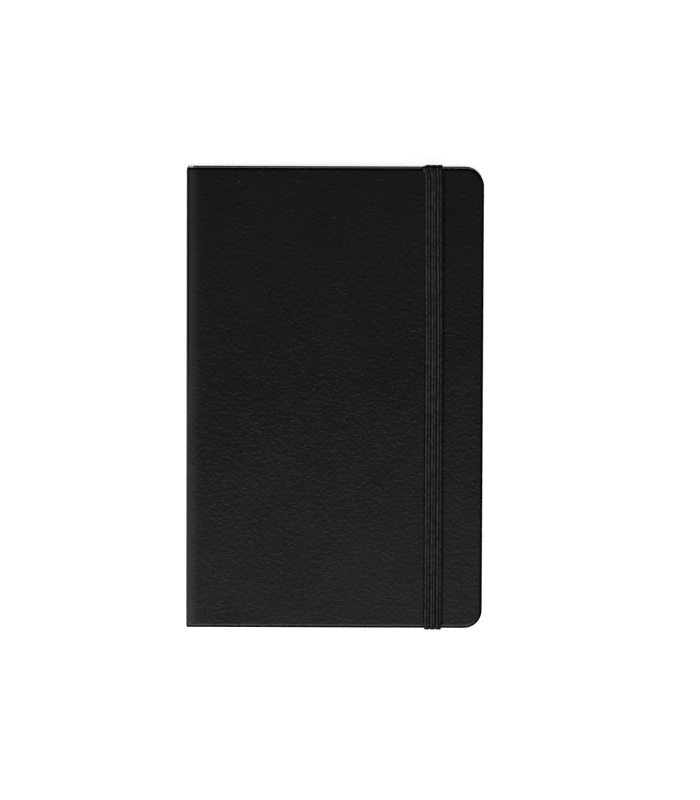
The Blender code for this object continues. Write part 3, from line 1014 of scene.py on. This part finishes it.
def start_material(name, roughness, specular, **constants):
    """An empty node material with its Principled shader, and the tree to add to."""
    made = bpy.data.materials.new(name)
    made.use_nodes = True
    shader = made.node_tree.nodes["Principled BSDF"]
    shader.inputs["Roughness"].default_value = roughness
    shader.inputs["Specular IOR Level"].default_value = specular
    for key, value in constants.items():
        shader.inputs[key.replace("_", " ")].default_value = value
    return made, Tree(made.node_tree), shader


def once(make):
    """Makes a material the first time it is asked for, and gives the same one afterwards."""

    def kept(*given):
        name = "finished_" + make.__name__.removesuffix("_material")
        return bpy.data.materials.get(name) or make(name, *given)

    return kept


def bump(maker, height, depth, strength=1.0):
    """A normal tipped by a height of 0 to 1 that stands for a depth in metres."""
    return maker.node("Bump", Height=height, Distance=depth, Strength=strength).outputs[0]


def scaled(value, factors):
    """A colour with each part scaled, as a socket takes it."""
    return (*[part * factor for part, factor in zip(value, factors)], 1.0)


def fibres_in(maker, value, scale, fibre, cloud):
    """The shared fibres in one colour: their fineness, how much they show, and how cloudy they are."""
    return place_group(maker, fibre_group(), Colour=(*value, 1.0), Scale=scale, Fibre=fibre, Cloud=cloud)


def dress(maker, shader, **inputs):
    """Feed the shader's sockets, named with underscores for spaces."""
    for key, value in inputs.items():
        maker.put(shader.inputs[key.replace("_", " ")], value)


@once
def covering_material(name, colours):
    """Pebbled covering: mottled warm and cool, paler where worn and painted with a highlight, and darkened as
    painted shade at its rims.
    """
    made, maker, shader = start_material(name, 0.30, 0.11, Coat_Roughness=0.16)
    shader.inputs["Specular Tint"].default_value = (0.96, 0.93, 1.0, 1.0)
    grain = place_group(maker, pebble_group(), Cells=800.0)
    warm = scaled(colours.covering, (1.06, 0.95, 0.97))
    cool = scaled(colours.covering, (1.10, 1.22, 1.30))
    mottled = maker.mix(maker.stretch(grain["Mottle"], 0.35, 0.65), warm, cool)
    specks = maker.node("TexVoronoi", Vector=maker.place(), Scale=310.0)
    chance = maker.stretch(specks.outputs["Distance"], 0.05, 0.09, 1.0, 0.0)
    picked = maker.node("SeparateColor", Color=specks.outputs["Color"]).outputs[0]
    speck = maker.math("MULTIPLY", chance, maker.math("GREATER_THAN", picked, 0.97))
    flecked = maker.mix(maker.math("MULTIPLY", speck, 0.30), mottled, (0.10, 0.10, 0.10, 1.0))
    uneven = maker.stretch(grain["Mottle"], 0.20, 0.55, 0.5, 1.0)
    # Wear and a painted highlight: the paler colour on the handled, lit edges and the spine's shoulder
    worn_and_highlit = maker.mix(maker.math("MULTIPLY", maker.attribute("rub"), uneven), flecked, (*colours.rubbed, 1.0))
    rim = maker.attribute("rim")
    # Painted shade at the rims, beside the band and along the bends: a near-black colour and less shine; the
    # wall also gets the coat
    dark_and_dull = maker.stretch(rim, 0.0, 0.5)
    y = maker.node("SeparateXYZ", Vector=maker.place()).outputs["Y"]
    flatter_at_tail = maker.stretch(y, -60.0 * MM, 0.0, 0.62, 1.12)
    rough = maker.stretch(grain["Mottle"], 0.3, 0.7, 0.27, 0.31)
    dress(
        maker,
        shader,
        Base_Color=maker.mix(maker.math("MULTIPLY", dark_and_dull, 0.8), worn_and_highlit, (0.0006, 0.0005, 0.0006, 1.0)),
        Specular_IOR_Level=maker.math("MULTIPLY_ADD", dark_and_dull, -0.11, 0.11),
        Coat_Weight=maker.stretch(rim, 0.75, 1.0, 0.0, 0.85),
        Roughness=maker.math("MULTIPLY_ADD", grain["Crease"], -0.03, rough),
        Normal=bump(maker, grain["Height"], 0.040 * MM, flatter_at_tail),
    )
    return made


@once
def leaf_material(name, colours, sizes):
    """Ivory paper ruled with lines at the rule pitch, from 13 mm below the head to 7 mm above the tail."""
    made, maker, shader = start_material(name, 0.85, 0.25)
    fibres = fibres_in(maker, colours.leaf, 2200.0, 0.12, 0.05)
    y = maker.node("SeparateXYZ", Vector=maker.place()).outputs["Y"]
    step = maker.math("FRACT", maker.math("DIVIDE", maker.math("ADD", y, 0.1), sizes.rule_pitch))
    off_line = maker.math("ABSOLUTE", maker.math("SUBTRACT", step, 0.5))
    line = maker.stretch(off_line, 0.012, 0.022, 1.0, 0.0)
    below_head = maker.math("LESS_THAN", y, HEAD_Y - 13.0 * MM)
    above_tail = maker.math("GREATER_THAN", y, 7.0 * MM - HEAD_Y)
    ruled = maker.math("MULTIPLY", line, maker.math("MULTIPLY", below_head, above_tail))
    dress(
        maker,
        shader,
        Base_Color=maker.mix(maker.math("MULTIPLY", ruled, 0.8), fibres["Colour"], (*colours.rule, 1.0)),
        Roughness=maker.stretch(fibres["Height"], 0.3, 0.7, 0.78, 0.92),
        Normal=bump(maker, fibres["Height"], 0.006 * MM),
    )
    return made


@once
def leaf_edge_material(name, colours):
    """Cut edges of the leaves: thin layers across the thickness, and fine marks of the knife."""
    made, maker, shader = start_material(name, 0.9, 0.2)
    layers = maker.noise(maker.place((60.0, 60.0, 9000.0)), 1.0, 2.0)
    marks = maker.noise(maker.place((1500.0, 1500.0, 40.0)), 1.0, 2.0)
    shade = maker.math("MULTIPLY_ADD", maker.stretch(layers, 0.30, 0.70), 0.30, 0.70)
    shade = maker.math("MULTIPLY", shade, maker.stretch(marks, 0.2, 0.8, 0.93, 1.03))
    dress(
        maker,
        shader,
        Base_Color=maker.shade(colours.leaf[:], shade),
        Roughness=maker.stretch(layers, 0.3, 0.7, 0.95, 0.85),
        Normal=bump(maker, layers, 0.010 * MM),
    )
    return made


@once
def endpaper_material(name, colours):
    """Plain ivory endpaper with visible fibres."""
    made, maker, shader = start_material(name, 0.8, 0.25)
    fibres = fibres_in(maker, colours.endpaper, 1300.0, 0.20, 0.08)
    dress(
        maker,
        shader,
        Base_Color=fibres["Colour"],
        Roughness=maker.stretch(fibres["Height"], 0.3, 0.7, 0.74, 0.9),
        Normal=bump(maker, fibres["Height"], 0.012 * MM),
    )
    return made


@once
def board_material(name, colours):
    """Grey board: coarse fibres and darker flecks."""
    made, maker, shader = start_material(name, 0.92, 0.2)
    fibres = fibres_in(maker, colours.board, 900.0, 0.65, 0.30)
    flecks = maker.node("TexVoronoi", Vector=maker.place((1.0, 0.3, 1.0)), Scale=700.0)
    fleck = maker.stretch(flecks.outputs["Distance"], 0.10, 0.22, 1.0, 0.0)
    dress(
        maker,
        shader,
        Base_Color=maker.mix(maker.math("MULTIPLY", fleck, 0.45), fibres["Colour"], (0.12, 0.11, 0.10, 1.0)),
        Roughness=maker.stretch(fibres["Height"], 0.3, 0.7, 0.86, 0.97),
        Normal=bump(maker, fibres["Height"], 0.04 * MM),
    )
    return made


@once
def cloth_material(name, colours):
    """Open-weave lining: painted shade in the gaps between crossed threads."""
    made, maker, shader = start_material(name, 0.95, 0.15)
    parts = maker.node("SeparateXYZ", Vector=maker.place()).outputs
    weave = place_group(maker, weave_group(), Across=parts["Y"], Along=parts["Z"], Pitch=0.75 * MM)
    fibres = fibres_in(maker, colours.cloth, 2600.0, 0.35, 0.1)
    # Painted shade in the weave's gaps
    thread = maker.stretch(weave["Gap"], 0.02, 0.35)
    dress(
        maker,
        shader,
        Base_Color=maker.mix(thread, (0.16, 0.15, 0.13, 1.0), fibres["Colour"]),
        Roughness=maker.stretch(fibres["Height"], 0.3, 0.7, 0.9, 1.0),
        Normal=bump(maker, weave["Height"], 0.08 * MM),
    )
    return made


@once
def thread_material(name, colours):
    """Linen thread: three strands laid round each other, with painted shade where they meet."""
    made, maker, shader = start_material(name, 0.75, 0.3)
    along, around = maker.attribute("along"), maker.attribute("around")
    lay = maker.math("MULTIPLY_ADD", along, 2 * math.pi / (0.55 * MM), around)
    strand = maker.math("ABSOLUTE", maker.math("SINE", maker.math("MULTIPLY", lay, 1.5)))
    fibres = fibres_in(maker, colours.thread, 4000.0, 0.3, 0.05)
    dress(
        maker,
        shader,
        # Painted shade between the strands
        Base_Color=maker.mix(maker.stretch(strand, 0.0, 0.45), (0.36, 0.32, 0.26, 1.0), fibres["Colour"]),
        Roughness=maker.stretch(strand, 0.0, 1.0, 0.85, 0.65),
        Normal=bump(maker, strand, 0.03 * MM),
    )
    return made


@once
def elastic_material(name, colours):
    """Ribbed elastic: a painted highlight along the cords' tops with an uneven nap, and painted shade without
    sheen between them.
    """
    made, maker, shader = start_material(name, 0.6, 0.07)
    along, across = maker.attribute("along"), maker.attribute("across")
    cord_highlight = maker.math("SUBTRACT", 1.0, maker.attribute("hollow"))
    weave = place_group(maker, weave_group(), Across=across, Along=along, Pitch=0.30 * MM)
    uneven = maker.noise(maker.place(), 1000.0, 2.0, 0.6)
    nap = maker.stretch(uneven, 0.38, 0.62, 0.40, 1.70)
    woven = maker.stretch(weave["Height"], 0.2, 0.9, 0.8, 1.2)
    painted_highlight = maker.math("MULTIPLY", maker.math("MULTIPLY", cord_highlight, nap), woven)
    # Shaded and lit copies of the elastic's colour, for the painted shade and the painted highlight
    low, high = (scaled(colours.elastic, (factor,) * 3) for factor in (0.42, 3.3))
    dress(
        maker,
        shader,
        Base_Color=maker.mix(painted_highlight, low, high),
        Specular_IOR_Level=maker.stretch(cord_highlight, 0.06, 0.22, 0.0, 0.08),
        Roughness=maker.stretch(uneven, 0.3, 0.7, 0.6, 0.8),
        Normal=bump(maker, weave["Height"], 0.035 * MM),
    )
    return made


class NOTEBOOK_OT_boards(bpy.types.Operator):
    """Finish the grey boards, the spine card and the cloth over the folds"""

    bl_idname = "notebook.boards"
    bl_label = "Boards and lining"

    def execute(self, context):
        colours = context.scene.notebook_colours
        finishes = {
            "back_board": board_material(colours),
            "front_board": board_material(colours),
            "spine_card": board_material(colours),
            "spine_lining": cloth_material(colours),
        }
        for name, finish in finishes.items():
            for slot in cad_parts[name].material_slots:
                slot.material = finish
        return {"FINISHED"}


# ---------------------------------------------------------------- stage


# name, place in metres, width, height, watts: each lamp faces the origin
SOFTBOXES = (
    ("key_softbox", (-0.03, -0.42, 0.85), 0.7, 0.26, 7.0),
    ("head_softbox", (-0.35, 1.25, 0.95), 1.2, 0.9, 4.5),
    ("left_softbox", (-1.30, 0.10, 0.80), 0.9, 1.2, 3.5),
    ("right_softbox", (1.30, 0.10, 0.90), 0.9, 1.2, 3.0),
)
FLOOR_GLOW = 0.66  # what camera, mirror and glass rays see of the floor beyond its own shading
SKY = 0.28  # the world's light on the object
FLOOR_REACH = 4.0
FLOOR_Z = -0.05 * MM
SENSOR = 36.0  # camera sensor's width in millimetres


def floor_material(colours):
    """A pale floor that shades like paint and reads as white to camera and mirror rays where it is open."""
    made, maker, shader = start_material("pale_floor", 0.9, 0.1)
    grain = maker.noise(maker.place(), 30.0, 3.0)
    paint = maker.shade(colours.floor[:], maker.stretch(grain, 0.0, 1.0, 0.995, 1.005))
    dress(maker, shader, Base_Color=paint)
    rays = maker.node("LightPath").outputs
    seen = maker.math("MAXIMUM", rays["Is Camera Ray"], rays["Is Glossy Ray"])
    seen = maker.math("MAXIMUM", seen, rays["Is Transmission Ray"])
    strength = maker.math("MULTIPLY", seen, FLOOR_GLOW)
    glow = maker.node("Emission", Color=(1.0, 1.0, 1.0, 1.0), Strength=strength)
    both = maker.node("AddShader")
    maker.put(both.inputs[0], shader.outputs[0])
    maker.put(both.inputs[1], glow.outputs[0])
    maker.put(maker.tree.nodes["Material Output"].inputs["Surface"], both.outputs[0])
    return made


def softbox(name, place, width, height, power):
    """A rectangular area lamp at place, facing the origin."""
    lamp = bpy.data.lights.new(name, "AREA")
    lamp.shape = "RECTANGLE"
    lamp.size, lamp.size_y, lamp.energy = width, height, power
    obj = bpy.data.objects.new(name, lamp)
    obj.location = place
    obj.rotation_euler = (-Vector(place)).to_track_quat("-Z", "Y").to_euler()
    bpy.context.scene.collection.objects.link(obj)


def soft_world():
    """A white sky: full strength to the camera, weaker as light on the object."""
    world = bpy.data.worlds.new("soft_world")
    world.use_nodes = True
    sky = Tree(world.node_tree)
    background = world.node_tree.nodes["Background"]
    background.inputs["Color"].default_value = (1.0, 1.0, 1.0, 1.0)
    seen = sky.node("LightPath").outputs["Is Camera Ray"]
    sky.put(background.inputs["Strength"], sky.stretch(seen, 0.0, 1.0, SKY, 1.0))
    return world


class NOTEBOOK_OT_stage(bpy.types.Operator):
    """Set the floor, the soft lamps, the world and the camera"""

    bl_idname = "notebook.stage"
    bl_label = "Stage"

    def execute(self, context):
        scene, stage = context.scene, context.scene.notebook_stage
        x, y = np.meshgrid(*[np.linspace(-FLOOR_REACH, FLOOR_REACH, 5)] * 2)
        plane = Patch(np.stack([x, y, np.full_like(x, FLOOR_Z)], axis=-1))
        floor = piece("floor", [plane], [floor_material(scene.notebook_colours)])
        for lamp in SOFTBOXES:
            softbox(*lamp)
        scene.world = soft_world()

        camera = bpy.data.objects.new("camera", bpy.data.cameras.new("camera"))
        scene.collection.objects.link(camera)
        camera.data.lens = stage.lens
        camera.data.sensor_width = SENSOR
        camera.data.clip_start, camera.data.clip_end = 0.01, 20.0
        towards = np.array([0.0, math.sin(stage.tilt), math.cos(stage.tilt)])
        camera.location = np.array(stage.aim) + stage.distance * towards
        camera.rotation_euler = (-stage.tilt, 0.0, 0.0)
        camera.rotation_euler.rotate_axis("Z", stage.roll)
        scene.camera = camera
        scene.view_settings.view_transform = "Standard"
        return {"FINISHED"}


# ---------------------------------------------------------------- panel and running


OPERATORS = (
    NOTEBOOK_OT_stage,
    NOTEBOOK_OT_covering,
    NOTEBOOK_OT_boards,
    NOTEBOOK_OT_endpapers,
    NOTEBOOK_OT_sections,
    NOTEBOOK_OT_sewing,
    NOTEBOOK_OT_band,
)


class NOTEBOOK_PT_panel(bpy.types.Panel):
    """The notebook's sizes and colours, and a button for each group of pieces"""

    bl_idname = "NOTEBOOK_PT_panel"
    bl_label = "Pocket notebook"
    bl_space_type = "VIEW_3D"
    bl_region_type = "UI"
    bl_category = "Notebook"

    def draw(self, context):
        for operator in OPERATORS:
            self.layout.operator(operator.bl_idname)
        for key, settings in SETTINGS.items():
            column = self.layout.column(align=True)
            for name in settings.__annotations__:
                column.prop(getattr(context.scene, key), name)


def register():
    for made in (*SETTINGS.values(), *OPERATORS, NOTEBOOK_PT_panel):
        bpy.utils.register_class(made)
    for key, settings in SETTINGS.items():
        setattr(bpy.types.Scene, key, bpy.props.PointerProperty(type=settings))


def unregister():
    for key in SETTINGS:
        delattr(bpy.types.Scene, key)
    for made in (NOTEBOOK_PT_panel, *reversed(OPERATORS), *reversed(SETTINGS.values())):
        bpy.utils.unregister_class(made)


def main():
    register()
    for operator in OPERATORS:
        getattr(bpy.ops.notebook, operator.bl_idname.split(".")[1])()


if __name__ == "__main__":
    main()
